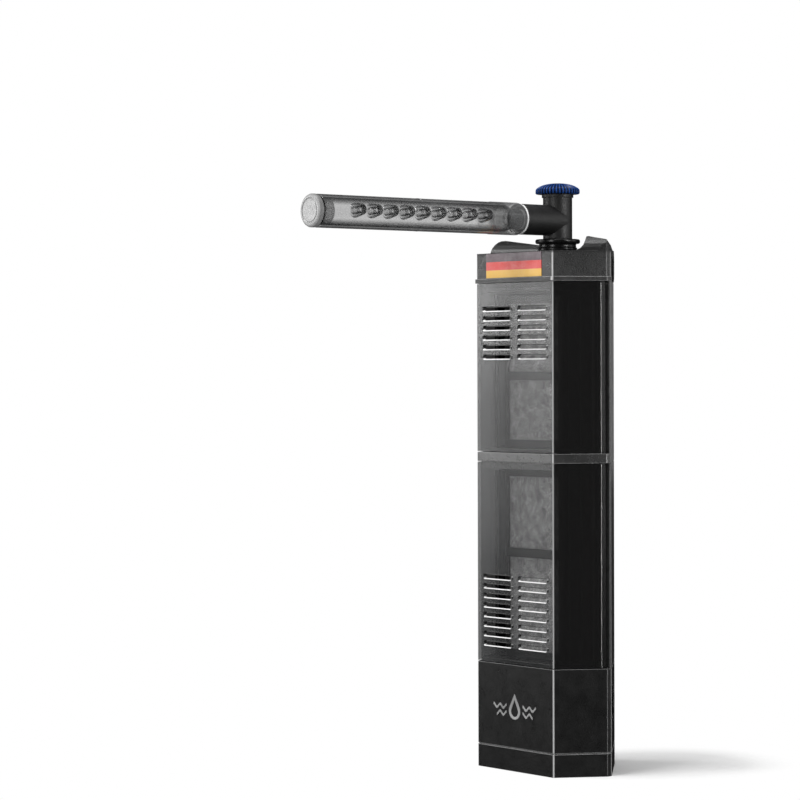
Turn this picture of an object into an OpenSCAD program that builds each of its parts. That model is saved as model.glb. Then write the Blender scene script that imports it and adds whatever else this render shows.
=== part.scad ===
// Internal power filter for an aquarium corner: pump base, two stacked filter
// modules, cap, flow valve and spray bar.  Origin: on the floor under the outlet
// axis.  +Z up, -Y to the front, +X to the right seen from the front.

/* [Body plan] */
// Width of the flat front face
front_w = 70; // [50:0.5:100]
// Width across the two short sides
side_w = 103.2; // [80:0.1:130]
// Distance from the outlet axis to the front face
front_y = 36; // [28:0.5:50]
// Distance from the outlet axis to the front end of the short sides
side_y = 7.1; // [0:0.1:20]
// Length of each short side
side_len = 3.4; // [2:0.1:10]
// Width of the flat across the rear corner
rear_w = 24; // [10:1:40]
// Wall thickness of the opaque mouldings
wall = 2.2; // [1.6:0.1:4]
// Wall thickness of the clear covers and rear shells
clear_wall = 2; // [1.2:0.1:3]

/* [Heights] */
// Height of the seam between foot and pump housing
foot_h = 14.3; // [8:0.1:25]
// Top of the pump housing
base_h = 65; // [50:0.5:90]
// Top of the lower module
lower_top = 188.6; // [120:0.1:220]
// Height of the grey ring between the modules
ring_h = 5.6; // [3:0.1:12]
// Top of the upper module
upper_top = 298.5; // [250:0.5:350]
// Top deck of the cap
deck_z = 317; // [300:0.5:370]
// Height of the crest of the raised bands above the deck
band_rise = 9; // [4:0.5:14]
// Axis of the spray bar
bar_z = 337.2; // [330:0.1:380]

/* [Covers] */
// Distance that the cover sides stand in from the short sides
cover_inset = 1.7; // [0:0.1:4]
// Rows of intake slots in the lower cover
lower_rows = 8; // [1:1:14]
// Rows of intake slots in the upper cover
upper_rows = 6; // [1:1:12]
// Distance between slot rows
slot_pitch = 5.9; // [4:0.1:10]
// Height of one slot
slot_h = 2.2; // [1:0.1:4]
// Bevel round the mouth of each slot
slot_bevel = 0.6; // [0.1:0.1:1]
// Length of one slot
slot_len = 25.6; // [10:0.1:30]
// Gap between the two columns of slots
slot_gap = 6.8; // [3:0.1:20]

/* [Outlet] */
// Radius of the upright pipe
pipe_r = 9; // [6:0.1:12]
// Radius of the level side branch
branch_r = 9.4; // [6:0.1:12]
// Radius of the knob
knob_r = 13.65; // [10:0.05:20]
// Outer radius of the spray bar tube
bar_r = 9.75; // [7:0.05:13]
// Distance from the outlet axis to the mouth that takes the spray bar
bar_start = 31; // [22:0.5:60]
// Distance from the outlet axis to the outer face of the end plug
bar_end = 191.4; // [120:0.2:300]
// Number of nozzles
nozzles = 9; // [1:1:14]
// Distance between nozzles
nozzle_pitch = 12; // [8:0.5:20]
// Distance from the outlet axis to the first nozzle
nozzle_start = 69.5; // [60:0.5:100]
// Radius of a nozzle where it leaves the tube
nozzle_base_r = 4.35; // [3:0.05:5]
// Outer radius of a nozzle's mouth
nozzle_tip_r = 3.25; // [2:0.05:4]
// Distance from the spray bar's axis to the nozzle mouths
nozzle_reach = 16.5; // [12:0.1:22]

/* [Pump] */
// Pump axis, right of the outlet axis
pump_x = 8.5; // [0:0.5:15]
// Pump axis, behind the outlet axis
pump_y = 10; // [0:0.5:15]
// Radius of the rotor magnet
rotor_r = 9.3; // [6:0.1:12]
// Radius of the ceramic shaft
shaft_r = 1.25; // [1:0.05:2]
// Outer radius of the riser tubes
riser_r = 7; // [5:0.1:10]

/* [Hidden] */
$fn = 64;
eps = 0.05;
gap = 0.3;
seam = 0.4;

hx = front_w / 2;
sx = side_w / 2;
rx = rear_w / 2;
side_back = side_len - side_y;
shell_front = side_back - 1.3;
rear_y = side_back + sx - rx;
lower_z = base_h + 0.5;
ring_z = lower_top + seam;
upper_z = ring_z + ring_h + seam;
cap_z = upper_top + 0.3;
lip_h = 2.5;
skirt_in = clear_wall + 2.9;
floor_t = 2;
crest_z = deck_z + band_rise;
collar_z = deck_z + 6;
flange_z = deck_z + 8.6;
tee_top = bar_z + 14.2;
knob_z = tee_top + 2.1;
nozzle_turn = 87;
spigot_r = 7.8;
spigot_start = bar_start - 15;
oring_y = bar_start - 8;
can_z = 6;
can_top = 44;
volute_top = 58;
cup_r = 9.6;
cup_depth = 4;
cup_proud = 1;
cap_cup_z = 308.3;
base_cup_z = 44;
gland_z = 30;
screw_spots = [[-28, -27.5], [28, -27.5], [-12, 25]];
pad_spots = [[-32, -17], [32, -17], [-34, 4], [34, 4]];

black = [0.03, 0.03, 0.035];
smoke = [0.20, 0.20, 0.21, 0.45];
shell_grey = [0.10, 0.10, 0.11, 0.75];
grey = [0.55, 0.55, 0.56];
foam_grey = [0.36, 0.36, 0.37];
blue = [0.01, 0.03, 0.30];

// Plan outlines -------------------------------------------------------------

body_pts = [[-hx, -front_y], [hx, -front_y], [sx, -side_y], [sx, side_back], [rx, rear_y],
    [-rx, rear_y], [-sx, side_back], [-sx, -side_y]];
body_radii = [2, 2, 2, 2.5, 4, 4, 2.5, 2];
chamfer_dir = [sx - hx, front_y - side_y] / norm([sx - hx, front_y - side_y]);

// Deep inside the walls the short sides vanish, and chamfer and rear wall meet in one corner
meet = (sx + side_back - hx + front_y) / (chamfer_dir[0] + chamfer_dir[1]);
meet_x = hx + meet * chamfer_dir[0];
meet_y = meet * chamfer_dir[1] - front_y;
deep_pts = [[-hx, -front_y], [hx, -front_y], [meet_x, meet_y], [rx, rear_y], [-rx, rear_y],
    [-meet_x, meet_y]];
deep_radii = [2, 2, 2, 4, 4, 2];
deep_from = 3.2;

cover_x = sx - cover_inset;
cover_y = -side_y - cover_inset * chamfer_dir[1] / chamfer_dir[0];
cover_pts = [[-hx, -front_y], [hx, -front_y], [cover_x, cover_y], [cover_x, 20],
    [-cover_x, 20], [-cover_x, cover_y]];
cover_radii = [2, 2, 1.8, 1, 1, 1.8];

basket_pts = [[-27, -21], [27, -21], [27, 14.5], [12, 28.5], [-12, 28.5], [-27, 14.5]];
basket_radii = [2, 2, 3, 3, 3, 3];

function unit(v) = v / norm(v);
function inward(a, b) = let (u = unit(b - a)) [-u[1], u[0]];
function wrap(p, i) = p[(i + len(p)) % len(p)];
// Point that lies d inside both edges that meet at corner i
function corner(p, i, d) =
    let (n1 = inward(wrap(p, i - 1), p[i]), n2 = inward(p[i], wrap(p, i + 1)))
    p[i] + d * (n1 + n2) / (1 + n1 * n2);
// The outline moved in by d, with its corners rounded
function rounded(p, radii, d = 0, steps = 6) = [
    for (i = [0 : len(p) - 1])
        let (n1 = inward(wrap(p, i - 1), p[i]), n2 = inward(p[i], wrap(p, i + 1)))
        let (r = max(radii[i] - d, 0.4), c = corner(p, i, d + r))
        let (a1 = atan2(-n1[1], -n1[0]), turn = acos(min(1, n1 * n2)))
        for (k = [0 : steps])
            c + r * [cos(a1 + turn * k / steps), sin(a1 + turn * k / steps)]];

module body(d = 0) {
    polygon(d < deep_from ? rounded(body_pts, body_radii, d) : rounded(deep_pts, deep_radii, d));
}
module cover(d = 0) { polygon(rounded(cover_pts, cover_radii, d)); }
module basket_plan(d = 0) { polygon(rounded(basket_pts, basket_radii, d)); }
module behind(y) { translate([-100, y]) square([200, 200]); }
module ahead_of(y) { translate([-100, y - 200]) square([200, 200]); }
module raise(z0, z1) { translate([0, 0, z0]) linear_extrude(z1 - z0) children(); }
module pump() { translate([pump_x, pump_y, 0]) children(); }

// Places children on a rear wall: local +X runs along the wall from the short side,
// local +Z points out of the wall and local +Y is up.
module rear_wall(side, along, z) {
    mirror([side < 0 ? 1 : 0, 0, 0])
        translate([sx - along * sin(45), side_back + along * cos(45), z])
            rotate([0, 0, 45]) rotate([0, 90, 0]) rotate([0, 0, 90]) children();
}
wall_len = norm([sx - rx, rear_y - side_back]);
cap_cup_at = wall_len / 2;
base_cup_at = 15;

// Pump base -----------------------------------------------------------------

module base_foot() {
    color(black) difference() {
        union() {
            raise(0, foot_h - 0.5) body();
            raise(foot_h - 1, foot_h) body(0.5);
        }
        raise(wall, foot_h + 1) body(wall + 0.5);
        for (p = screw_spots) translate([p[0], p[1], 0]) {
            translate([0, 0, -eps]) cylinder(r = 3.4, h = 1.2 + eps);
            cylinder(r = 1.9, h = 10);
        }
        for (p = pad_spots) translate([p[0], p[1], -eps]) cylinder(r = 5.1, h = 1.6 + eps);
    }
}

module foot_pads() {
    color(black) for (p = pad_spots) translate([p[0], p[1], 0]) cylinder(r = 5, h = 1.6);
}

module foot_screws() {
    color([0.6, 0.6, 0.62]) for (p = screw_spots) translate([p[0], p[1], 0.2]) difference() {
        union() {
            cylinder(r = 2.9, h = 1, $fn = 32);
            cylinder(r = 1.4, h = 16, $fn = 24);
        }
        for (a = [0, 90]) rotate([0, 0, a]) translate([-1.6, -0.35, -eps]) cube([3.2, 0.7, 0.7]);
    }
}

// Recess for a suction cup, with a hole for its neck
module cup_pocket() {
    translate([0, 0, -cup_depth]) cylinder(r = cup_r + 0.9, h = cup_depth + 5);
    translate([0, 0, -12]) cylinder(r = 2.7, h = 12, $fn = 32);
}

module base_housing() {
    color(black) difference() {
        union() {
            difference() {
                union() {
                    raise(foot_h + 0.3, base_h) body();
                    raise(foot_h - 4, foot_h + 1) body(wall + 0.8);
                }
                raise(foot_h - 5, foot_h + 2) body(wall + 1.8);
                raise(foot_h + 1, base_h - 2.4) body(wall);
            }
            // screw bosses
            for (p = screw_spots) translate([p[0], p[1], wall + 0.1]) difference() {
                cylinder(r = 3.6, h = base_h - wall - 1);
                translate([0, 0, -eps]) cylinder(r = 1.4, h = 15, $fn = 24);
            }
            // seats behind the suction cups
            intersection() {
                raise(base_cup_z - 12, base_h - 1) body();
                for (s = [-1, 1]) rear_wall(s, base_cup_at, base_cup_z)
                    translate([-12, -16, -6.2]) cube([24, 28, 6.2]);
            }
            // sleeve for the cable gland
            translate([0, rear_y - 5, gland_z]) rotate([-90, 0, 0]) cylinder(r = 7, h = 4);
        }
        for (s = [-1, 1]) rear_wall(s, base_cup_at, base_cup_z) cup_pocket();
        translate([0, rear_y - 9, gland_z]) rotate([-90, 0, 0]) cylinder(r = 5, h = 15);
        translate([0, 0, base_h - 5]) cylinder(r = 9.2, h = 10);
        // intake slots over the strainer
        for (i = [0 : 4]) pump()
            translate([4.5 + i * 3.6, -8, base_h - 5]) cube([1.8, 18 - i * 2.4, 10]);
        for (i = [-4 : 4]) translate([i * 6.5 - 1.2, -27, base_h - 5]) cube([2.4, 14, 10]);
    }
}

module can_plan(d = 0) {
    pump() circle(r = 16.5 - d);
    translate([-27 + d, -14 + d]) square([30 - d, 22 - 2 * d]);
}

module motor_can() {
    color([0.05, 0.05, 0.055]) difference() {
        union() {
            difference() {
                raise(can_z, can_top) can_plan();
                raise(can_z + 1.8, can_top - 2) can_plan(1.6);
            }
            pump() translate([0, 0, can_z]) cylinder(r = 11.4, h = can_top - can_z);
        }
        pump() translate([0, 0, 14]) cylinder(r = 10, h = 40);
    }
}

module motor_mounts() {
    color(black) for (p = [[-20, -8], [-20, 2], [16, 0], [12, 20]])
        translate([p[0], p[1], wall]) cylinder(r = 3.5, h = can_z - wall, $fn = 32);
}

module stator_core() {
    color([0.35, 0.36, 0.38]) raise(20, 36) difference() {
        union() {
            pump() circle(r = 14.7);
            translate([-25, -9]) square([26, 8]);
        }
        pump() circle(r = 11.5);
    }
}

module stator_coil() {
    color([0.55, 0.27, 0.10]) raise(14, 41) difference() {
        translate([-23, -12.2]) square([14, 14.4]);
        translate([-23.1, -9.1]) square([14.2, 8.2]);
    }
    color([0.55, 0.27, 0.10]) for (z = [14, 36.1]) raise(z, z + 4.9)
        translate([-23, -9.2]) square([14, 8.4]);
}

module rotor_magnet() {
    color([0.12, 0.12, 0.13]) pump() difference() {
        translate([0, 0, 20]) cylinder(r = rotor_r, h = 21);
        cylinder(r = shaft_r + 0.05, h = 80, $fn = 32);
    }
}

module impeller() {
    color([0.75, 0.75, 0.76]) pump() difference() {
        union() {
            translate([0, 0, 41]) cylinder(r = 3, h = 12.5);
            translate([0, 0, 46]) cylinder(r = 9, h = 1.2);
            for (a = [0 : 60 : 359]) rotate([0, 0, a]) translate([2, -0.6, 46.5]) cube([6.8, 1.2, 6.5]);
        }
        cylinder(r = shaft_r + 0.05, h = 80, $fn = 32);
    }
}

module shaft() {
    color([0.92, 0.91, 0.88]) pump() translate([0, 0, 15.5]) cylinder(r = shaft_r, h = 41.5, $fn = 32);
}

module bush_lower() {
    color(black) pump() difference() {
        translate([0, 0, 14]) cylinder(r = 4.5, h = 4.5);
        translate([0, 0, 15.5]) cylinder(r = shaft_r, h = 10, $fn = 32);
    }
}

module bush_upper() {
    color(black) pump() difference() {
        translate([0, 0, 55.2]) cylinder(r = 2.6, h = 2.8);
        translate([0, 0, 50]) cylinder(r = shaft_r, h = 7, $fn = 32);
    }
}

// Pump chamber: intake from above, outlet along -Y into the foot of the riser
module volute_cover() {
    color([0.07, 0.07, 0.075]) difference() {
        union() {
            pump() translate([0, 0, can_top]) cylinder(r = 13, h = volute_top - can_top);
            translate([0, 0, can_top]) cylinder(r = 8.8, h = 23);
            translate([-5.5, 0, can_top]) cube([11, 10, 12]);
        }
        pump() translate([0, 0, can_top - eps]) cylinder(r = 10.5, h = 11);
        translate([-3.5, 0, can_top + 2]) cube([7, 10, 8]);
        translate([0, 0, can_top + 2]) cylinder(r = 5.4, h = 30);
        translate([0, 0, volute_top]) cylinder(r = riser_r + gap, h = 30);
        pump() difference() {
            translate([0, 0, can_top]) cylinder(r = 6, h = 20);
            for (a = [90, 210, 330]) rotate([0, 0, a]) translate([0, -0.8, 55.2]) cube([7, 1.6, 2.6]);
            translate([0, 0, 55.2]) cylinder(r = 3.8, h = 2.8);
        }
        pump() translate([0, 0, 55.2 - eps]) cylinder(r = 2.6, h = 10);
    }
}

module intake_strainer() {
    color([0.07, 0.07, 0.075]) difference() {
        pump() translate([0, 0, volute_top]) cylinder(r = 8.5, h = 4);
        pump() translate([0, 0, volute_top - eps]) cylinder(r = 7, h = 2.6);
        translate([0, 0, volute_top - 1]) cylinder(r = 9.2, h = 10);
        for (x = [-4.2 : 2.1 : 6.3]) let (half = sqrt(6.9 * 6.9 - x * x))
            pump() translate([x - 0.5, -half, volute_top]) cube([1, 2 * half, 10]);
    }
}

module cable_gland() {
    color(black) translate([0, rear_y, gland_z]) rotate([-90, 0, 0]) difference() {
        union() {
            translate([0, 0, -8]) cylinder(r = 6.6, h = 2.8);
            translate([0, 0, -8]) cylinder(r = 5, h = 10);
            translate([0, 0, 0]) cylinder(r = 6.6, h = 1.6);
            translate([0, 0, 2.4]) cylinder(r = 4.8, h = 1.2);
            translate([0, 0, 1.6]) cylinder(r = 4.2, h = 4.4);
            translate([0, 0, 4.8]) cylinder(r = 4.6, h = 1.2);
        }
        translate([0, 0, -10]) cylinder(r = 3, h = 20, $fn = 48);
    }
}

// Suction cup on a rear wall, with its button hooked behind the wall
module suction_cup() {
    rotate_extrude() polygon([[0, -8.6], [3.6, -8.6], [3.8, -8.2], [3.8, -6.8], [2.4, -6.4],
        [2.4, -3.2], [4.2, -2.4], [6.5, -1.7], [8.2, -0.8], [cup_r, 0.4], [cup_r, cup_proud],
        [cup_r - 0.5, cup_proud], [8, -0.1], [6, -0.8], [0, -1.4]]);
}

module base_suction_cups() {
    color([0.25, 0.25, 0.27, 0.6])
        for (s = [-1, 1]) rear_wall(s, base_cup_at, base_cup_z) suction_cup();
}

// A drop whose straight flanks meet its round belly at a tangent
function drop(r, tip, steps = 24) = let (a = acos(r / tip), turn = 360 - 2 * a) concat([[0, tip]],
    [for (k = [0 : steps]) let (t = 90 + a + k * turn / steps) r * [cos(t), sin(t)]]);
// A wavy ribbon, x0 to x1, of the given thickness
function wave_y(x) = 1.1 * sin(x * 60);
function ribbon(x0, x1, thick, steps = 20) = concat(
    [for (k = [0 : steps]) let (x = x0 + k * (x1 - x0) / steps) [x, wave_y(x) - thick / 2]],
    [for (k = [steps : -1 : 0]) let (x = x0 + k * (x1 - x0) / steps) [x, wave_y(x) + thick / 2]]);

// Generic badge: a water drop with two waves on each side
module emblem() {
    color(grey) translate([0, -front_y, 37]) rotate([90, 0, 0]) linear_extrude(0.4) {
        difference() {
            polygon(drop(5.2, 10.4));
            polygon([for (p = drop(3.2, 7.2)) p + [0, -0.4]]);
        }
        for (m = [0, 1]) mirror([m, 0]) {
            translate([0, 2.2]) polygon(ribbon(7.5, 19.5, 1.5));
            translate([0, -2]) polygon(ribbon(7.5, 16.5, 1.5));
        }
    }
}

// Filter modules ------------------------------------------------------------

// Rear half of a module; its wall reaches down by skirt, behind the ring below it
module rear_shell(z0, z1, skirt = 0) {
    color(shell_grey) {
        difference() {
            union() {
                raise(z0 - skirt, z1) intersection() {
                    difference() { body(); body(clear_wall); }
                    behind(shell_front);
                }
                // tongues that the cover slides over
                raise(z0 + 1, z1 - 6.5) {
                    intersection() {
                        difference() { cover(clear_wall + gap); cover(clear_wall + 2); }
                        intersection() { behind(-12); ahead_of(-2.6); }
                    }
                    intersection() {
                        difference() { body(1.4); cover(clear_wall + 2); }
                        intersection() { behind(-4.8); ahead_of(-2.6); }
                    }
                }
                // floor
                raise(z0, z0 + floor_t) {
                    intersection() { cover(clear_wall + gap); ahead_of(-4); }
                    intersection() { body(1); behind(-4.9); }
                }
                // vertical stiffening ribs on the rear walls
                for (s = [-1, 1]) for (a = [16, 40]) rear_wall(s, a, 0)
                    translate([-0.8, z0 + 0.1, -3.6]) cube([1.6, z1 - z0 - 7, 2.6]);
            }
            translate([0, 0, z0 - 1]) cylinder(r = riser_r + 2.6, h = 10);
            for (i = [-4 : 4]) translate([i * 6.5 - 1.2, -30.5, z0 - 1]) cube([2.4, 8, 5]);
            for (i = [-3 : 3]) translate([i * 5 - 1, 14, z0 - 1]) cube([2, 9, 5]);
        }
    }
}

// Cutter for one row of slots, with bevelled rims on the front face
module slot(z) {
    flat = slot_len - slot_h;
    r = slot_h / 2;
    rim = r + slot_bevel + 0.02;
    for (s = [-1, 1]) translate([s * (slot_gap + slot_len) / 2, -front_y, z]) rotate([-90, 0, 0]) {
        translate([0, 0, -5]) linear_extrude(12) {
            square([flat, slot_h], center = true);
            for (e = [-1, 1]) translate([e * flat / 2, 0]) circle(r = r, $fn = 24);
        }
        for (e = [-1, 1]) translate([e * flat / 2, 0, -0.02])
            cylinder(r1 = rim, r2 = r, h = slot_bevel + 0.02, $fn = 24);
        rotate([0, 90, 0]) linear_extrude(flat, center = true)
            polygon([[0.02, -rim], [0.02, rim], [-slot_bevel, r], [-slot_bevel, -r]]);
    }
}

// Clear cover with rows of slots; the first row is at slot_z
module front_cover(z0, z1, slot_z, rows) {
    color(smoke) difference() {
        raise(z0, z1) intersection() {
            difference() { cover(); cover(clear_wall); }
            ahead_of(shell_front - gap);
        }
        for (i = [0 : rows - 1]) slot(slot_z + i * slot_pitch);
    }
}

// Basket with windows in front and behind, split by a bar from mid0 to mid1, and ribbed sides
module basket(z0, z1, mid0, mid1) {
    color([0.13, 0.13, 0.14]) difference() {
        union() {
            difference() {
                raise(z0, z1) basket_plan();
                raise(z0 + 1.6, z1 + 1) basket_plan(1.6);
            }
            translate([0, 0, z0]) cylinder(r = riser_r + 2.4, h = 12);
            // side ribs
            for (s = [-1, 1]) for (y = [-16, -6, 4]) translate([s * 27.2 - 0.8, y, z0])
                cube([1.6, 1.6, z1 - z0]);
        }
        translate([0, 0, z0 - 1]) cylinder(r = riser_r + 0.6, h = 40);
        for (w = [[z0 + 5, mid0], [mid1, z1 - 4.8]]) {
            translate([-23.5, -30, w[0]]) cube([47, 20, w[1] - w[0]]);
            for (x = [-10, 1.2]) translate([x, 10, w[0]]) cube([8.8, 30, w[1] - w[0]]);
        }
        for (i = [-3 : 3]) for (y = [-18, 10]) translate([i * 6.5 - 1.3, y, z0 - 1]) cube([2.6, 8, 4]);
    }
}

module foam(z0, z1) {
    color(foam_grey) raise(z0, z1) difference() {
        basket_plan(1.9);
        circle(r = riser_r + 2.7);
    }
}

module riser(z0, z1) {
    color([0.08, 0.08, 0.085]) translate([0, 0, z0]) difference() {
        cylinder(r = riser_r, h = z1 - z0);
        translate([0, 0, -1]) cylinder(r = riser_r - 1.6, h = z1 - z0 + 2);
    }
}

module lower_rear_shell() { rear_shell(lower_z, lower_top); }
module lower_front_cover() {
    front_cover(lower_z + 0.1, lower_top - 0.1, 76.6, lower_rows);
}
module lower_basket() { basket(lower_z + floor_t + 0.2, 184.4, 129.8, 135.4); }
module lower_foam() { foam(lower_z + floor_t + 2, 181); }
module lower_riser() { riser(volute_top + 0.3, ring_z + 2.4); }
module upper_rear_shell() { rear_shell(upper_z, upper_top, ring_h + 0.4); }
module upper_front_cover() {
    front_cover(upper_z + 0.1, upper_top - 0.1, 253.2, upper_rows);
}
module upper_basket() { basket(upper_z + floor_t + 0.2, 290.8, 239, 244); }
module upper_foam() { foam(upper_z + floor_t + 2, 287.5); }
module upper_riser() { riser(ring_z + 2.8, deck_z - 7.4); }

// Grey ring that joins the modules, with a socket for the two riser tubes
module module_ring() {
    color(grey) difference() {
        union() {
            raise(ring_z, ring_z + ring_h) difference() {
                union() {
                    intersection() { body(); ahead_of(shell_front - gap); }
                    body(clear_wall + gap);
                }
                body(5);
            }
            raise(ring_z - 4.4, ring_z + 1) intersection() {
                difference() { cover(clear_wall + gap); cover(clear_wall + 1.9); }
                ahead_of(-13);
            }
            // spokes
            raise(ring_z + 1, ring_z + 3.4) intersection() {
                body(3);
                union() {
                    for (a = [0, 180]) rotate([0, 0, a]) translate([8, -2]) square([sx, 4]);
                    translate([-2, -front_y]) square([4, front_y - 8]);
                    translate([-2, 8]) square([4, rear_y - 8]);
                }
            }
            translate([0, 0, ring_z - 4]) cylinder(r = riser_r + 2.2, h = ring_h + 3.6);
        }
        translate([0, 0, ring_z - 10]) cylinder(r = riser_r + 0.2, h = 40);
    }
}

// Cap -----------------------------------------------------------------------

// Height of a raised band above the deck, against the distance in from the rear wall
band_across = [[0, -3], [0, 0.4], [1, 4.6], [2.4, 6.8], [6, 7.5], [10, 8.2], [13.6, band_rise],
    [14.6, band_rise - 0.3], [15.3, 6], [16.3, 3.4], [18.1, 1.5], [20.7, 0.3], [21.5, 0], [21.5, -3]];
// Its height against the distance along the wall from the short side
band_along = [[-3.6, -3], [-3.6, 2], [-2.8, 4.2], [-1.2, 6.3], [1, 8], [3, band_rise - 0.2],
    [5.4, band_rise], [wall_len * 0.44, band_rise - 2.6], [wall_len + 1, 1.2], [wall_len + 1, -3]];

module band(side) {
    intersection() {
        raise(deck_z - 3, crest_z + 1) body();
        rear_wall(side, 0, deck_z) intersection() {
            translate([-10, 0, 0]) rotate([0, 90, 0]) linear_extrude(80) polygon(band_across);
            translate([0, 0, -30]) linear_extrude(40) polygon(band_along);
        }
    }
}

module top_cap() {
    color(black) difference() {
        union() {
            difference() {
                union() {
                    raise(cap_z, deck_z) body();
                    raise(cap_z, cap_z + lip_h) intersection() { body(-1.2); ahead_of(side_back); }
                    raise(cap_z - 5.5, cap_z + 1) body(skirt_in);
                }
                raise(cap_z - 6, cap_z + 2) body(skirt_in + 1.8);
                raise(cap_z + 1, deck_z - 2.4) body(wall);
            }
            for (s = [-1, 1]) band(s);
            intersection() {
                raise(cap_z, deck_z) body();
                for (s = [-1, 1]) rear_wall(s, cap_cup_at, cap_cup_z)
                    translate([-12.5, -15, -6.2]) cube([25, 30, 6.2]);
            }
            translate([0, 0, cap_z + 2]) cylinder(r = 12.6, h = deck_z - cap_z - 3);
        }
        for (s = [-1, 1]) rear_wall(s, cap_cup_at, cap_cup_z) cup_pocket();
        translate([0, 0, cap_z - 10]) cylinder(r = 10.6, h = 60);
        translate([0, 0, deck_z + 0.02]) cylinder(r = 14.1, h = 20);
    }
}

module cap_seal() {
    color(black) raise(cap_z - 3.4, cap_z - 1.8) difference() {
        body(skirt_in - 0.8);
        body(skirt_in);
    }
}

module label_sticker() {
    color([0.3, 0.3, 0.31]) translate([-25.5, -front_y - 0.25, cap_z + lip_h + 0.4])
        cube([51, 0.25, deck_z - cap_z - lip_h - 0.8]);
}

module cap_suction_cups() {
    color([0.25, 0.25, 0.27, 0.6])
        for (s = [-1, 1]) rear_wall(s, cap_cup_at, cap_cup_z) suction_cup();
}

// Outlet --------------------------------------------------------------------

module outlet_collar() {
    color(black) difference() {
        union() {
            translate([0, 0, cap_z + 5]) cylinder(r = 10.4, h = deck_z - cap_z);
            translate([0, 0, deck_z]) rotate_extrude() polygon([
                [0, 0], [11.5, 0], [11.5, 1], [12, 1.5], [12.2, 2.3], [12, 3.2], [11.5, 3.7], [11.3, 5],
                [11.6, collar_z - deck_z - 0.2], [13.2, collar_z - deck_z], [13.7, collar_z - deck_z + 0.5],
                [13.85, collar_z - deck_z + 1.3], [13.7, collar_z - deck_z + 2.1],
                [13.2, flange_z - deck_z], [0, flange_z - deck_z]]);
        }
        translate([0, 0, cap_z]) cylinder(r = riser_r + gap, h = 20);
        translate([0, 0, deck_z - 6.5]) cylinder(r = 8.3, h = 30);
    }
}

module ring_seal(major, minor) {
    rotate_extrude() translate([major, 0]) circle(r = minor, $fn = 24);
}

module outlet_oring() { color(black) translate([0, 0, deck_z + 4]) ring_seal(7.4, 0.55); }
module bar_oring() {
    color(black) translate([0, -oring_y, bar_z]) rotate([90, 0, 0]) ring_seal(spigot_r - 0.5, 0.55);
}

module outlet_tee() {
    color(black) difference() {
        union() {
            translate([0, 0, deck_z - 5]) cylinder(r = 8, h = 20);
            translate([0, 0, flange_z + 0.3]) cylinder(r = pipe_r, h = tee_top - flange_z - 0.3);
            translate([0, 0, bar_z]) rotate([90, 0, 0]) cylinder(r = branch_r, h = bar_start);
        }
        translate([0, 0, deck_z - 6]) cylinder(r = 5.4, h = 20);
        translate([0, 0, bar_z - 9.5]) cylinder(r = 6.8, h = 40);
        translate([0, 0, bar_z]) rotate([90, 0, 0]) cylinder(r = 6.6, h = bar_start + 1);
        translate([0, -spigot_start + 0.5, bar_z]) rotate([90, 0, 0])
            cylinder(r = spigot_r + 0.1, h = bar_start);
        translate([0, 0, deck_z + 4]) difference() {
            translate([0, 0, -0.7]) cylinder(r = 9, h = 1.4);
            translate([0, 0, -1]) cylinder(r = 6.8, h = 2);
        }
    }
}

module knob_ring() {
    color(black) difference() {
        translate([0, 0, tee_top]) cylinder(r = 9.75, h = 1.9);
        translate([0, 0, tee_top - 1]) cylinder(r = 3.4, h = 5, $fn = 32);
    }
}

module flow_knob() {
    color(blue) difference() {
        translate([0, 0, knob_z]) rotate_extrude($fn = 96) polygon([[0, 0], [knob_r - 0.5, 0],
            [knob_r, 0.5], [knob_r, 2.8], [knob_r - 0.5, 3.4], [knob_r - 2.2, 4.3],
            [knob_r - 4.4, 5.2], [knob_r - 7, 6], [knob_r - 10, 6.5], [0, 6.7]]);
        for (i = [0 : 47]) rotate([0, 0, i * 7.5]) translate([knob_r + 0.25, 0, knob_z - 1])
            cylinder(r = 0.62, h = 5, $fn = 8);
    }
}

// Hollow barrel under the knob; its side port faces the spray bar when open
module valve_barrel() {
    color([0.07, 0.07, 0.075]) difference() {
        union() {
            translate([0, 0, bar_z - 9]) cylinder(r = 6.5, h = tee_top - bar_z + 8.4);
            translate([0, 0, tee_top - 2]) cylinder(r = 3, h = knob_z - tee_top + 2, $fn = 32);
        }
        translate([0, 0, bar_z - 10]) cylinder(r = 5.2, h = 18);
        translate([0, 0, bar_z]) rotate([90, 0, 0]) cylinder(r = 4.8, h = 12);
    }
}

// Half section of the tube: grooved spigot, flared collar, long tube with a weld ring
module tube_section() {
    tube_end = bar_end - 5;
    collar_y = bar_start + gap;
    ring_y = 112;
    polygon([
        [spigot_r - 1.6, spigot_start], [spigot_r - 0.3, spigot_start],
        [spigot_r, spigot_start + 0.4], [spigot_r, oring_y - 0.7],
        [spigot_r - 1.1, oring_y - 0.7], [spigot_r - 1.1, oring_y + 0.7],
        [spigot_r, oring_y + 0.7], [spigot_r, collar_y],
        [branch_r - 0.4, collar_y], [branch_r, collar_y + 0.4], [branch_r, collar_y + 1.6],
        [branch_r - 0.5, collar_y + 1.8], [branch_r - 0.5, collar_y + 2.8],
        [bar_r + 0.2, collar_y + 3.2], [bar_r + 0.2, collar_y + 24],
        [bar_r, collar_y + 25.5], [bar_r, ring_y - 0.5],
        [bar_r + 0.1, ring_y - 0.4], [bar_r + 0.1, ring_y + 0.4],
        [bar_r, ring_y + 0.5], [bar_r, tube_end - 0.3],
        [bar_r - 0.3, tube_end], [bar_r - 1.6, tube_end],
        [bar_r - 1.6, collar_y + 13], [spigot_r - 1.6, collar_y + 8]]);
}

// Places children at each nozzle, with local +Z along its bore
module at_nozzles() {
    for (i = [0 : nozzles - 1])
        translate([0, -nozzle_start - i * nozzle_pitch, bar_z]) rotate([0, nozzle_turn, 0]) children();
}

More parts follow.
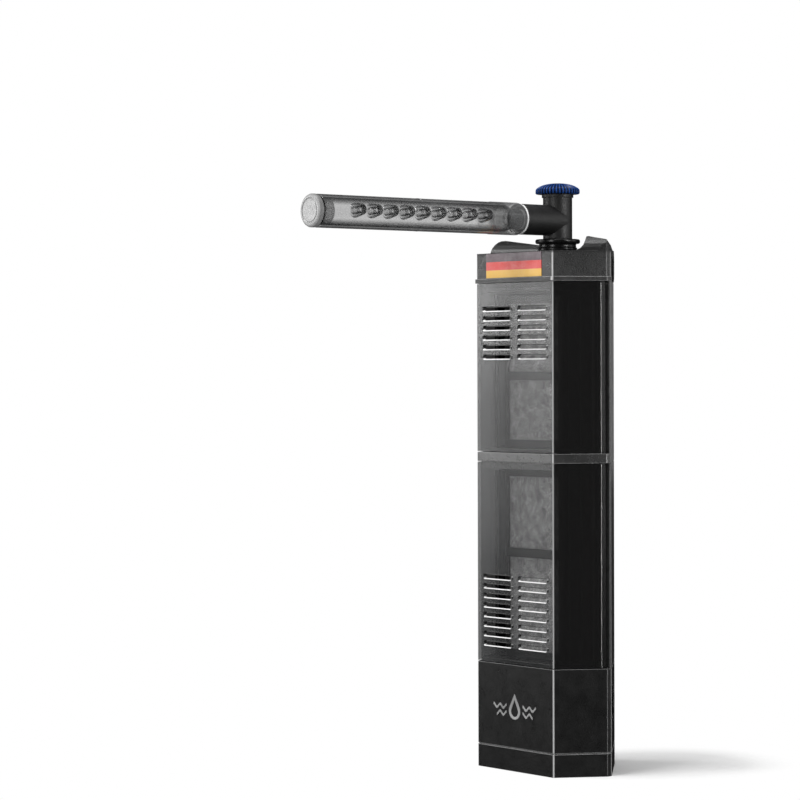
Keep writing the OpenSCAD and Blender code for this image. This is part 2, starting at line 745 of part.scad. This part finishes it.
// Spray bar along -Y, with nozzles to +X
module spray_bar() {
    color(smoke) difference() {
        union() {
            translate([0, 0, bar_z]) rotate([90, 0, 0]) rotate_extrude($fn = 96) tube_section();
            at_nozzles() rotate_extrude($fn = 48) polygon([
                [0, bar_r - 1.2], [nozzle_base_r, bar_r - 1.2], [nozzle_base_r, bar_r - 0.3],
                [nozzle_tip_r, nozzle_reach - 0.4], [nozzle_tip_r - 0.3, nozzle_reach],
                [0, nozzle_reach]]);
        }
        at_nozzles() cylinder(r = nozzle_tip_r - 0.95, h = 30, $fn = 32);
    }
}

module end_plug() {
    plug_in = bar_end - 12.4;
    color(smoke) difference() {
        translate([0, 0, bar_z]) rotate([90, 0, 0]) rotate_extrude($fn = 96) polygon([
            [0, plug_in + 2], [bar_r - 3.2, plug_in + 2], [bar_r - 3.2, plug_in],
            [bar_r - 2, plug_in], [bar_r - 1.7, plug_in + 0.3], [bar_r - 1.7, bar_end - 4.9],
            [bar_r - 0.7, bar_end - 4.8], [bar_r - 0.7, bar_end - 3.4], [bar_r, bar_end - 3.2],
            [bar_r, bar_end - 1.4], [bar_r - 0.3, bar_end - 0.7], [bar_r - 0.9, bar_end - 0.2],
            [bar_r - 1.6, bar_end], [bar_r - 2.2, bar_end], [bar_r - 2.5, bar_end - 0.3],
            [bar_r - 3, bar_end - 0.3], [bar_r - 3.3, bar_end], [0, bar_end]]);
        translate([-1, -bar_end + 2.4, bar_z + bar_r - 1.2]) cube([2, 3, 3]);
    }
}

base_foot();
foot_pads();
foot_screws();
base_housing();
motor_can();
motor_mounts();
stator_core();
stator_coil();
rotor_magnet();
impeller();
shaft();
bush_lower();
bush_upper();
volute_cover();
intake_strainer();
cable_gland();
base_suction_cups();
emblem();
lower_rear_shell();
lower_front_cover();
lower_basket();
lower_foam();
lower_riser();
module_ring();
upper_rear_shell();
upper_front_cover();
upper_basket();
upper_foam();
upper_riser();
top_cap();
cap_seal();
label_sticker();
cap_suction_cups();
outlet_collar();
outlet_oring();
outlet_tee();
knob_ring();
flow_knob();
valve_barrel();
bar_oring();
spray_bar();
end_plug();
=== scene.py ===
"""Looks of a corner aquarium filter: pump base, two filter modules, cap, flow knob and spray bar.

Metres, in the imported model's own frame: +Z up, -Y to the front, origin on the floor under the outlet.
"""
import math

import bmesh
import bpy
from mathutils import Matrix, Vector


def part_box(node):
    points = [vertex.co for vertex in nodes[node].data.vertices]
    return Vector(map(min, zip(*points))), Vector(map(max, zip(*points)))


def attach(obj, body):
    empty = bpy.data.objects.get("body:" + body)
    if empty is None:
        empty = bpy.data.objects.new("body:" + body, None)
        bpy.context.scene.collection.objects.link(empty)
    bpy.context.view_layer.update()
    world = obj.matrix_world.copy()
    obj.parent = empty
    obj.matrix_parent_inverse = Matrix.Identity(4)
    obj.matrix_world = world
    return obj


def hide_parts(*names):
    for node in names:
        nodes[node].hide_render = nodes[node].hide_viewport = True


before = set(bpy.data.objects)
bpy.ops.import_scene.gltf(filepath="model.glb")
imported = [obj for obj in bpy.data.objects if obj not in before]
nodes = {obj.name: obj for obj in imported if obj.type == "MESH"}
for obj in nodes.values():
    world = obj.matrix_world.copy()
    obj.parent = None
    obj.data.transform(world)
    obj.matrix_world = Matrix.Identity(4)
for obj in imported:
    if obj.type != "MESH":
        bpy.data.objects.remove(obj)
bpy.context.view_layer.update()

scene = bpy.context.scene

MM = 0.001
KNOB_RIBS = 40
MOULDED_EDGE = 0.5 * MM
SMALL_EDGE = 0.3 * MM

# Height above which the cap's shoulders and rear bands are duller than its upright walls, and near black as
# painted shade
CAP_SHOULDER = 315 * MM

# Places across the front cover between which its paler, less clear left part runs out
LEFT_PALING_START = -34 * MM
LEFT_PALING_END = -6 * MM

# The way each flat face of the body looks: up, down, and the upright ones by their turn from +X
UPRIGHT_TURNS = [math.radians(turn) for turn in (-150.13, -90, -29.87, 0, 45, 90, 135, 180)]
BODY_FLATS = [(0, 0, 1), (0, 0, -1)] + [(math.cos(turn), math.sin(turn), 0) for turn in UPRIGHT_TURNS]

# ---------------------------------------------------------------- node helpers


def feed(tree, socket, value):
    """Link a node's output to the socket, or write a plain value into it."""
    if isinstance(value, bpy.types.NodeSocket):
        tree.links.new(value, socket)
    else:
        socket.default_value = value


class Shader:
    """A material with its Principled shader, and short calls for the nodes that drive it."""

    def __init__(self, name, **settings):
        self.material = bpy.data.materials.new(name)
        self.material.use_nodes = True
        self.tree = self.material.node_tree
        self.bsdf = self.tree.nodes["Principled BSDF"]
        for socket, value in settings.items():
            self.set(socket.replace("_", " "), value)

    def set(self, socket, value):
        feed(self.tree, self.bsdf.inputs[socket], value)

    def node(self, kind, **inputs):
        """A node of this kind. A keyword is one of its inputs or, if it has none so named, a setting."""
        made = self.tree.nodes.new(kind)
        for key, value in inputs.items():
            name = key.replace("_", " ")
            if hasattr(made, key) and name not in made.inputs:
                setattr(made, key, value)
            else:
                feed(self.tree, made.inputs[name], value)
        return made

    def place(self):
        return self.node("ShaderNodeTexCoord").outputs["Object"]

    def facing(self):
        return self.node("ShaderNodeTexCoord").outputs["Normal"]

    def split(self, vector):
        """The X, Y and Z of a vector."""
        return self.node("ShaderNodeSeparateXYZ", Vector=vector).outputs

    def stretched(self, x, y, z):
        """The place, scaled differently along each axis."""
        return self.node("ShaderNodeMapping", Vector=self.place(), Scale=(x, y, z)).outputs["Vector"]

    def noise(self, per_metre, detail=3.0, roughness=0.55, vector=None):
        made = self.node("ShaderNodeTexNoise", Scale=per_metre, Detail=detail, Roughness=roughness)
        feed(self.tree, made.inputs["Vector"], vector or self.place())
        return made.outputs["Fac"]

    def ranged(self, value, low, high, start=0.35, end=0.65):
        """low where the value is at start or under it, running to high where it reaches end."""
        made = self.node("ShaderNodeMapRange", Value=value, From_Min=start, From_Max=end, To_Min=low,
                         To_Max=high)
        return made.outputs["Result"]

    def rise(self, value, start=0.35, end=0.65):
        return self.ranged(value, 0.0, 1.0, start, end)

    def fall(self, value, start, end):
        return self.ranged(value, 1.0, 0.0, start, end)

    def mix(self, factor, first, second):
        """The first colour where the factor is 0, and the second where it is 1."""
        made = self.node("ShaderNodeMix", data_type="RGBA")
        colour_sockets = made.inputs[6], made.inputs[7]
        for socket, value in zip((made.inputs[0], *colour_sockets), (factor, first, second)):
            feed(self.tree, socket, value)
        return made.outputs[2]

    def math(self, operation, first, second=0.0):
        made = self.node("ShaderNodeMath", operation=operation)
        for socket, value in zip(made.inputs, (first, second)):
            feed(self.tree, socket, value)
        return made.outputs[0]

    def dot(self, first, second):
        made = self.node("ShaderNodeVectorMath", operation="DOT_PRODUCT")
        for socket, value in zip(made.inputs, (first, second)):
            feed(self.tree, socket, value)
        return made.outputs["Value"]

    def soft_edges(self, radius):
        """A normal that is rounded over every sharp edge."""
        return self.node("ShaderNodeBevel", Radius=radius, samples=6).outputs["Normal"]

    def edge_mask(self, radius):
        """1 along sharp edges and 0 on the flats."""
        true_normal = self.node("ShaderNodeNewGeometry").outputs["True Normal"]
        return self.fall(self.dot(self.soft_edges(radius), true_normal), 0.80, 0.985)

    def corner_mask(self):
        """1 on the rounded upright corners of the body, whose normals lie between those of its flats."""
        facing = self.facing()
        nearest = self.dot(facing, BODY_FLATS[0])
        for flat in BODY_FLATS[1:]:
            nearest = self.math("MAXIMUM", nearest, self.dot(facing, flat))
        upright = self.fall(self.math("ABSOLUTE", self.split(facing)["Z"]), 0.02, 0.12)
        return self.math("MULTIPLY", upright, self.fall(nearest, 0.93, 0.985))

    def bumped(self, height, depth, normal=None):
        made = self.node("ShaderNodeBump", Height=height, Distance=depth, Strength=1.0)
        if normal is not None:
            feed(self.tree, made.inputs["Normal"], normal)
        self.set("Normal", made.outputs["Normal"])


def grey(value, tint=0.0):
    """A grey, or one that leans to blue by the tint."""
    return (value, value * (1 + tint * 0.5), value * (1 + tint), 1.0)


def shaded(colour, share):
    """A colour times a share, darker under 1 and paler over it."""
    return tuple(min(1.0, part * share) for part in colour[:3]) + (1.0,)


# ------------------------------------------------------------------- materials


def moulded(name, colour, roughness, grain=1400.0, depth=0.04 * MM, edge_highlight=None, highlight_share=0.8, corners=False,
            speckle=0.03, shaded_dull_above=None, **settings):
    """Moulded plastic: fine spark-eroded grain, uneven gloss, a painted highlight that pales sharp edges
    towards a given colour, and painted shade above a given height.
    """
    s = Shader(name, **settings)
    fine = s.noise(grain, detail=2.0)
    base = s.mix(s.rise(s.noise(55.0, detail=4.0)), shaded(colour, 0.78), shaded(colour, 1.25))
    # Painted highlight: sharp edges, and the body's upright corners if asked, are paled towards the given
    # colour by a share.
    if edge_highlight:
        highlit_edges = s.edge_mask(MOULDED_EDGE)
        if corners:
            highlit_edges = s.math("MAXIMUM", highlit_edges, s.corner_mask())
        base = s.mix(s.math("MULTIPLY", highlit_edges, highlight_share), base, edge_highlight)
    gloss = s.ranged(s.noise(140.0, detail=5.0), roughness - 0.05, roughness + 0.05)
    gloss = s.math("ADD", gloss, s.ranged(fine, -speckle, speckle, 0.4, 0.6))
    # Painted shade: above that height the colour turns near black; the gloss also gets rougher.
    if shaded_dull_above:
        shade_and_dull = s.rise(s.split(s.place())["Z"], shaded_dull_above, shaded_dull_above + 2 * MM)
        base = s.mix(shade_and_dull, base, grey(0.003))
        gloss = s.math("ADD", gloss, s.math("MULTIPLY", shade_and_dull, 0.12))
    s.set("Base Color", base)
    s.set("Roughness", gloss)
    s.bumped(fine, depth, s.soft_edges(MOULDED_EDGE))
    return s.material


def smoky_cover(name):
    """Smoky clear moulding: painted shade on the slanted sides, paler and less clear to the left, a painted
    highlight on its upright corners, and on its slots painted shade on the upper lips and a glowing painted
    highlight on the lower lips.
    """
    s = Shader(name, IOR=1.49, Specular_IOR_Level=1.0, Emission_Strength=1.0)
    facing = s.split(s.facing())
    # Painted shade: the slanted sides are made more opaque and near black.
    shaded_slants = s.rise(s.math("ABSOLUTE", facing["X"]), 0.3, 0.6)
    # Paler and less clear towards the left of the front.
    left_paling = s.fall(s.split(s.place())["X"], LEFT_PALING_START, LEFT_PALING_END)
    corners = s.corner_mask()
    # The slots' bevelled lips look half up or half down; the lower lips get a glowing painted highlight, the
    # upper lips painted shade
    glowing_lip_highlight = s.math("MULTIPLY", s.rise(facing["Z"], 0.4, 0.6), s.fall(facing["Z"], 0.85, 0.95))
    upper_lip_shade = s.fall(facing["Z"], -0.6, -0.4)
    streaks = s.noise(60.0, vector=s.stretched(6.0, 6.0, 0.25))
    solid = s.mix(left_paling, s.ranged(streaks, 0.22, 0.25), s.ranged(streaks, 0.36, 0.46))
    solid = s.mix(shaded_slants, solid, grey(0.80))
    # Painted highlight: the upright corners are made more opaque.
    solid = s.mix(s.math("MULTIPLY", corners, 0.75), solid, grey(1.0))
    s.set("Alpha", s.mix(s.math("MAXIMUM", glowing_lip_highlight, upper_lip_shade), solid, grey(1.0)))
    tint = s.mix(left_paling, grey(0.04, 0.05), grey(0.075, 0.03))
    # Painted shade: near black on the slanted sides.
    tint = s.mix(shaded_slants, tint, grey(0.006))
    # Painted highlight: the upright corners are paled.
    tint = s.mix(s.math("MULTIPLY", corners, 0.9), tint, grey(0.34))
    # Painted shade on the upper lips, painted highlight on the lower lips.
    tint = s.mix(upper_lip_shade, tint, grey(0.002))
    s.set("Base Color", s.mix(glowing_lip_highlight, tint, grey(0.6)))
    # Painted glow: the lower lips give off light of their own.
    s.set("Emission Color", s.mix(glowing_lip_highlight, grey(0.0), grey(0.13)))
    s.set("Roughness", s.ranged(s.noise(300.0, detail=4.0), 0.17, 0.22))
    s.bumped(s.noise(300.0), 0.004 * MM)
    return s.material


def smoky_tube(name, mouth_y):
    """Smoky see-through tube: deeper where its wall is seen along, round its nozzles and at its socket."""
    s = Shader(name, IOR=1.46, Specular_IOR_Level=0.5)
    along = s.split(s.place())["Y"]

    def from_mouth(deep, shallow):
        """0 further in from the tube's mouth than deep, and 1 nearer to it than shallow."""
        return s.rise(along, mouth_y - deep, mouth_y - shallow)

    shoulder = from_mouth(27.5 * MM, 26 * MM)
    socket = from_mouth(18 * MM, 15.5 * MM)
    ring = from_mouth(2 * MM, 1.8 * MM)
    grazing = s.node("ShaderNodeLayerWeight", Blend=0.5).outputs["Facing"]
    rim = s.rise(grazing, 0.3, 0.7)
    nozzle = s.rise(s.math("ABSOLUTE", s.split(s.facing())["Y"]), 0.12, 0.3)
    outline = s.math("MULTIPLY", s.rise(grazing, 0.4, 0.52), nozzle)
    cloud = s.noise(60.0, detail=4.0)
    streaks = s.noise(50.0, vector=s.stretched(5.0, 0.4, 5.0))
    wall = s.mix(shoulder, s.ranged(streaks, 0.15, 0.22), s.ranged(streaks, 0.26, 0.34))
    wall = s.mix(socket, wall, s.ranged(streaks, 0.48, 0.66))
    wall = s.mix(nozzle, wall, grey(0.32))
    wall = s.mix(rim, wall, grey(0.82))
    wall = s.mix(outline, wall, grey(0.85))
    s.set("Alpha", s.mix(ring, wall, grey(1.0)))
    thin = s.mix(s.rise(cloud), grey(0.02, 0.03), grey(0.045, 0.03))
    thick = s.mix(s.rise(cloud), grey(0.05, 0.03), grey(0.11, 0.03))
    s.set("Base Color", s.mix(ring, s.mix(socket, thin, thick), grey(0.6)))
    s.set("Roughness", s.ranged(s.noise(260.0), 0.08, 0.16))
    s.bumped(s.noise(500.0), 0.012 * MM)
    return s.material


def ribbed_plastic(name, ribs):
    """Deep blue plastic, with painted shade between the ribs and a painted highlight along their crests."""
    s = Shader(name, Specular_IOR_Level=0.15)
    across = s.split(s.place())
    angle = s.math("ARCTAN2", across["Y"], across["X"])
    # Painted shade and highlight: near black between the ribs, bright blue along their crests.
    crest_light = s.rise(s.math("COSINE", s.math("MULTIPLY", angle, float(ribs))), -0.7, 0.9)
    rib_light_and_shade = s.math("MULTIPLY", crest_light, s.ranged(s.noise(320.0), 0.5, 1.0))
    s.set("Base Color", s.mix(rib_light_and_shade, (0.0004, 0.002, 0.010, 1.0), (0.004, 0.042, 0.20, 1.0)))
    s.set("Roughness", s.ranged(s.noise(500.0), 0.32, 0.42))
    s.bumped(s.noise(900.0), 0.03 * MM)
    return s.material


def frosted_plug(name, outer_y):
    """Frosted milky-grey moulding: pale cap, painted shade in the groove behind it, and clearer inside the
    tube.
    """
    s = Shader(name, IOR=1.46, Specular_IOR_Level=0.5)
    along = s.split(s.place())["Y"]
    groove_shade = s.rise(along, outer_y + 3.1 * MM, outer_y + 3.3 * MM)
    inside = s.rise(along, outer_y + 4.8 * MM, outer_y + 5 * MM)
    end_face = s.rise(s.math("ABSOLUTE", s.split(s.facing())["Y"]), 0.5, 0.97)
    milky = s.mix(s.rise(s.noise(220.0, detail=4.0)), grey(0.27), grey(0.33))
    base = s.mix(end_face, grey(0.13), milky)
    # Painted shade: the groove behind the cap is near black.
    base = s.mix(groove_shade, base, grey(0.003))
    s.set("Base Color", s.mix(inside, base, grey(0.22)))
    s.set("Alpha", s.mix(inside, grey(0.95), grey(0.55)))
    s.set("Roughness", s.ranged(s.noise(500.0), 0.26, 0.36))
    s.bumped(s.noise(300.0), 0.005 * MM)
    return s.material


def foam_sponge(name):
    """Open-cell foam: painted shade in the pores between pale struts, with soft cloudy patches of caught
    dirt.
    """
    s = Shader(name, Specular_IOR_Level=0.2, Sheen_Weight=0.2, Sheen_Roughness=0.6)
    cells = s.node("ShaderNodeTexVoronoi", Vector=s.place(), Scale=900.0).outputs["Distance"]
    cloud = s.noise(170.0, detail=6.0, roughness=0.7)
    # Painted shade: the pores are darker than the struts.
    struts_and_pore_shade = s.mix(s.rise(cells, 0.12, 0.5), grey(0.66), grey(0.34))
    s.set("Base Color", s.mix(s.ranged(cloud, 0.0, 0.9, 0.38, 0.62), struts_and_pore_shade, grey(0.15)))
    s.set("Roughness", s.ranged(cloud, 0.85, 1.0))
    s.bumped(cells, -0.5 * MM)
    return s.material


def printed_film(name, low, high):
    """Glossy sticker printed in three level bands between the heights low and high."""
    s = Shader(name, Specular_IOR_Level=0.4)
    ramp = s.node("ShaderNodeValToRGB", Fac=s.rise(s.split(s.place())["Z"], low, high))
    ramp.color_ramp.interpolation = "CONSTANT"
    amber, red = ramp.color_ramp.elements
    amber.color = (0.56, 0.32, 0.035, 1.0)
    red.position = 0.31
    red.color = (0.47, 0.024, 0.018, 1.0)
    plum = ramp.color_ramp.elements.new(0.655)
    plum.color = (0.065, 0.04, 0.05, 1.0)
    speckle = s.ranged(s.noise(1500.0), 0.0, 0.06)
    s.set("Base Color", s.mix(speckle, ramp.outputs["Color"], grey(0.6)))
    s.set("Roughness", s.ranged(s.noise(200.0), 0.28, 0.4))
    s.bumped(s.noise(700.0), 0.01 * MM)
    return s.material


def metal(name, colour, roughness, layers):
    """Metal with fine level streaks: more layers make them thinner."""
    s = Shader(name, Metallic=1.0)
    brushed = s.noise(300.0, detail=4.0, vector=s.stretched(1.0, 1.0, layers))
    s.set("Base Color", s.mix(s.rise(brushed), shaded(colour, 0.8), shaded(colour, 1.0)))
    s.set("Roughness", s.ranged(brushed, roughness - 0.08, roughness + 0.1))
    s.bumped(brushed, 0.02 * MM, s.soft_edges(SMALL_EDGE))
    return s.material


def soft_rubber(name, colour, roughness):
    """Matt rubber with cloudy tone and fine grain."""
    s = Shader(name)
    s.set("Base Color", s.mix(s.rise(s.noise(90.0, detail=5.0)), shaded(colour, 0.7), colour))
    s.set("Roughness", s.ranged(s.noise(400.0), roughness - 0.08, roughness + 0.08))
    s.bumped(s.noise(800.0), 0.03 * MM, s.soft_edges(SMALL_EDGE))
    return s.material


sticker_low, sticker_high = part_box("label_sticker")

# The pale colours and shares given below for edges make a painted highlight along them.
black = moulded("black_moulding", grey(0.0055), 0.35, depth=0.07 * MM, edge_highlight=grey(0.38), highlight_share=0.95,
                corners=True)
cap_black = moulded("cap_moulding", grey(0.024), 0.33, grain=1300.0, depth=0.2 * MM, edge_highlight=grey(0.45),
                    highlight_share=0.9, corners=True, speckle=0.06, shaded_dull_above=CAP_SHOULDER)
gloss_black = moulded("gloss_moulding", grey(0.005), 0.3)
pipe_black = moulded("pipe_moulding", grey(0.007), 0.46, grain=1200.0, depth=0.15 * MM, edge_highlight=grey(0.10),
                     highlight_share=0.3, speckle=0.06)
inner_black = moulded("inner_moulding", grey(0.03), 0.45)
basket_black = moulded("basket_moulding", grey(0.012), 0.4)
shell_dark = moulded("smoky_shell", grey(0.016), 0.3, edge_highlight=grey(0.3), corners=True, Specular_IOR_Level=0.25)
ring_grey = moulded("ring_moulding", grey(0.026), 0.24, edge_highlight=grey(0.5), corners=True, Specular_IOR_Level=1.0)
badge_grey = moulded("badge_moulding", grey(0.24), 0.45, depth=0.02 * MM)
paddle_white = moulded("paddle_moulding", grey(0.66), 0.4)
cover_smoke = smoky_cover("smoky_cover")
tube_smoke = smoky_tube("smoky_tube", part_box("outlet_tee")[0].y)
plug_frost = frosted_plug("frosted_plug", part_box("end_plug")[0].y)
foam_grey = foam_sponge("foam_sponge")
cup_rubber = soft_rubber("cup_rubber", grey(0.012), 0.3)
seal_rubber = soft_rubber("seal_rubber", grey(0.02), 0.6)
knob_blue = ribbed_plastic("knob_moulding", KNOB_RIBS)
steel = metal("screw_steel", (0.55, 0.55, 0.57), 0.3, layers=30.0)
core_steel = metal("core_laminations", (0.28, 0.29, 0.31), 0.45, layers=60.0)
copper = metal("coil_winding", (0.72, 0.32, 0.12), 0.35, layers=40.0)
ferrite = moulded("ferrite", grey(0.03), 0.55)
ceramic = moulded("ceramic", (0.78, 0.76, 0.72, 1.0), 0.2, depth=0.01 * MM)
sticker_film = printed_film("sticker_film", sticker_low.z, sticker_high.z)

NODE_MATERIALS = {
    "base_foot": black, "base_housing": black, "foot_pads": seal_rubber, "foot_screws": steel,
    "motor_can": inner_black, "motor_mounts": seal_rubber, "stator_core": core_steel,
    "stator_coil": copper, "rotor_magnet": ferrite, "impeller": paddle_white, "shaft": ceramic,
    "bush_lower": seal_rubber, "bush_upper": seal_rubber, "volute_cover": inner_black,
    "intake_strainer": inner_black, "cable_gland": seal_rubber, "base_suction_cups": cup_rubber,
    "emblem": badge_grey, "lower_rear_shell": shell_dark, "lower_front_cover": cover_smoke,
    "lower_basket": basket_black, "lower_riser": inner_black, "module_ring": ring_grey,
    "upper_rear_shell": shell_dark, "upper_front_cover": cover_smoke, "upper_basket": basket_black,
    "upper_riser": inner_black, "top_cap": cap_black, "cap_seal": seal_rubber,
    "label_sticker": sticker_film, "cap_suction_cups": cup_rubber, "outlet_collar": gloss_black,
    "outlet_oring": seal_rubber, "outlet_tee": pipe_black, "knob_ring": pipe_black,
    "valve_barrel": inner_black, "bar_oring": seal_rubber, "spray_bar": tube_smoke,
    "end_plug": plug_frost,
}


def paint(piece, material):
    piece.data.materials.clear()
    piece.data.materials.append(material)


for node_name, node_material in NODE_MATERIALS.items():
    paint(nodes[node_name], node_material)

# ------------------------------------------------------------------ new pieces


def add_piece(name, mesh, body, material, stands_for):
    """A piece with smooth shading that rides on a body in place of one CAD node."""
    for polygon in mesh.polygons:
        polygon.use_smooth = True
    piece = bpy.data.objects.new(name, mesh)
    scene.collection.objects.link(piece)
    paint(piece, material)
    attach(piece, body)
    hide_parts(stands_for)
    return piece


def foam_block(node_name, body):
    """Open-cell foam: the plain block remeshed fine, with its skin pitted inwards."""
    voxel = 1.3 * MM
    pit_depth = 0.7 * MM
    pit_spacing = 2.6 * MM
    mesh = nodes[node_name].data.copy()
    piece = add_piece(node_name + "_sponge", mesh, body, foam_grey, node_name)
    remesh = piece.modifiers.new("cells", "REMESH")
    remesh.mode = "VOXEL"
    remesh.voxel_size = voxel
    pits = bpy.data.textures.new(node_name + "_pits", "VORONOI")
    pits.noise_scale = pit_spacing
    displace = piece.modifiers.new("pits", "DISPLACE")
    displace.texture = pits
    displace.texture_coords = "LOCAL"
    displace.strength = -pit_depth
    displace.mid_level = 0.0


def ribbed_knob():
    """Mushroom knob: ribs run down its dome and end as teeth round the rim."""
    low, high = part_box("flow_knob")
    radius = (high.x - low.x) / 2
    height = high.z - low.z
    rib_depth = 0.8 * MM
    points_per_rib = 8
    around = KNOB_RIBS * points_per_rib
    # From the underside over the rim to the top: share of the radius, of the height, and of the rib depth
    outline = [(0.25, 0.0, 0), (0.9, 0.0, 0), (0.97, 0.02, 1), (1.0, 0.09, 1), (1.0, 0.3, 1),
               (0.99, 0.42, 1), (0.95, 0.52, 1), (0.88, 0.63, 0.9), (0.79, 0.73, 0.8), (0.68, 0.82, 0.65),
               (0.56, 0.89, 0.5), (0.43, 0.94, 0.35), (0.3, 0.975, 0.2), (0.16, 0.995, 0.05), (0.05, 1.0, 0)]
    bm = bmesh.new()
    rings = []
    for share_out, share_up, share_cut in outline:
        ring = []
        for k in range(around):
            angle = 2 * math.pi * k / around
            groove = (0.5 - 0.5 * math.cos(KNOB_RIBS * angle)) ** 2
            cut = rib_depth * share_cut * groove
            out = (radius - cut) * share_out
            up = low.z + height * share_up - cut * (1 - share_out * 0.5)
            ring.append(bm.verts.new((out * math.cos(angle), out * math.sin(angle), max(up, low.z))))
        rings.append(ring)
    for inner, outer in zip(rings, rings[1:]):
        for k in range(around):
            n = (k + 1) % around
            bm.faces.new((inner[k], inner[n], outer[n], outer[k]))
    bm.faces.new(list(reversed(rings[0])))
    bm.faces.new(rings[-1])
    bmesh.ops.recalc_face_normals(bm, faces=bm.faces)
    mesh = bpy.data.meshes.new("ribbed_knob")
    bm.to_mesh(mesh)
    bm.free()
    add_piece("ribbed_knob", mesh, "knob", knob_blue, "flow_knob")


foam_block("lower_foam", "lower_module")
foam_block("upper_foam", "upper_module")
ribbed_knob()

# ---------------------------------------------------------------- camera, stage


def place_camera(spot, yaw, pitch, roll, lens):
    """Camera at a spot, turned left from +Y by yaw, down by pitch and over by roll, all in degrees."""
    camera = bpy.data.cameras.new("camera")
    camera.lens = lens
    camera.sensor_width = 36.0
    camera.clip_end = 50.0
    holder = bpy.data.objects.new("camera", camera)
    scene.collection.objects.link(holder)
    yaw, pitch, roll = math.radians(yaw), math.radians(pitch), math.radians(roll)
    forward = Vector((-math.sin(yaw) * math.cos(pitch), math.cos(yaw) * math.cos(pitch), -math.sin(pitch)))
    right = Vector((math.cos(yaw), math.sin(yaw), 0.0))
    up = right.cross(forward)
    tilted_right = math.cos(roll) * right + math.sin(roll) * up
    tilted_up = math.cos(roll) * up - math.sin(roll) * right
    turn = Matrix((tilted_right, tilted_up, -forward)).transposed().to_4x4()
    holder.matrix_world = Matrix.Translation(spot) @ turn
    scene.camera = holder


def softbox(name, azimuth, distance, height, size, radiance, aim=0.2):
    """Area light round the object, at 0 degrees in front and 90 to the right, aimed at that height."""
    width, tall = size
    light = bpy.data.lights.new(name, "AREA")
    light.shape = "RECTANGLE"
    light.size = width
    light.size_y = tall
    light.energy = radiance * math.pi * width * tall
    holder = bpy.data.objects.new(name, light)
    scene.collection.objects.link(holder)
    turn = math.radians(azimuth)
    spot = Vector((math.sin(turn) * distance, -math.cos(turn) * distance, height))
    holder.location = spot
    holder.rotation_euler = (Vector((0, 0, aim)) - spot).to_track_quat("-Z", "Y").to_euler()


def white_room():
    """White to look at, soft all round, and dark in reflections."""
    world = bpy.data.worlds.new("room")
    scene.world = world
    world.use_nodes = True
    tree = world.node_tree
    background = tree.nodes["Background"]
    background.inputs["Color"].default_value = (1.0, 1.0, 1.0, 1.0)
    path = tree.nodes.new("ShaderNodeLightPath")
    strength = 0.45
    for ray, level in (("Is Glossy Ray", 0.018), ("Is Camera Ray", 1.0)):
        choice = tree.nodes.new("ShaderNodeMix")
        feed(tree, choice.inputs[0], path.outputs[ray])
        feed(tree, choice.inputs[2], strength)
        feed(tree, choice.inputs[3], level)
        strength = choice.outputs[0]
    feed(tree, background.inputs["Strength"], strength)


def pale_floor(half_side, centre, lit_radius, white_radius):
    """Pale floor that takes shadows within the lit radius, and is plain white past the white one."""
    mesh = bpy.data.meshes.new("floor")
    corners = [(x * half_side, y * half_side, 0.0) for x, y in ((-1, -1), (1, -1), (1, 1), (-1, 1))]
    mesh.from_pydata(corners, [], [(0, 1, 2, 3)])
    floor = bpy.data.objects.new("floor", mesh)
    scene.collection.objects.link(floor)
    s = Shader("pale_floor", Specular_IOR_Level=0.1, Roughness=0.7)
    s.set("Base Color", s.mix(s.rise(s.noise(3.0)), grey(0.74), grey(0.76)))
    reach = s.node("ShaderNodeVectorMath", operation="DISTANCE")
    feed(s.tree, reach.inputs[0], s.place())
    feed(s.tree, reach.inputs[1], centre)
    white = s.node("ShaderNodeEmission", Strength=1.0)
    blend = s.node("ShaderNodeMixShader")
    feed(s.tree, blend.inputs[0], s.rise(reach.outputs["Value"], lit_radius, white_radius))
    feed(s.tree, blend.inputs[1], s.bsdf.outputs[0])
    feed(s.tree, blend.inputs[2], white.outputs[0])
    feed(s.tree, s.tree.nodes["Material Output"].inputs["Surface"], blend.outputs[0])
    paint(floor, s.material)
    floor.visible_glossy = False


place_camera((1.2810, -1.1537, 0.2446), yaw=51.24, pitch=0.59, roll=-0.18, lens=125.4)
white_room()
pale_floor(6.0, centre=(35 * MM, 55 * MM, 0.0), lit_radius=50 * MM, white_radius=85 * MM)
softbox("front_left_high", -51, 1.5, height=0.46, size=(0.55, 0.42), radiance=5.2)
softbox("front_left_low", -51, 1.5, height=0.145, size=(0.55, 0.2), radiance=1.9)
softbox("front_edge", 14, 1.5, height=0.42, size=(0.3, 1.1), radiance=7.0)
softbox("side_edge", 104, 1.4, height=0.42, size=(0.2, 1.1), radiance=15.0)
softbox("key_left", -37, 0.55, height=1.75, size=(0.45, 0.45), radiance=26.0, aim=0.0)
softbox("key_front", -4, 0.7, height=1.75, size=(0.45, 0.45), radiance=24.0, aim=0.0)
softbox("rear_right", 142, 1.5, height=0.5, size=(0.5, 1.0), radiance=1.2)
softbox("rear_left", -140, 1.6, height=0.6, size=(0.8, 1.0), radiance=0.35)
softbox("overhead", 0, 0.01, height=1.7, size=(1.2, 1.2), radiance=1.6)

scene.view_settings.view_transform = "Standard"
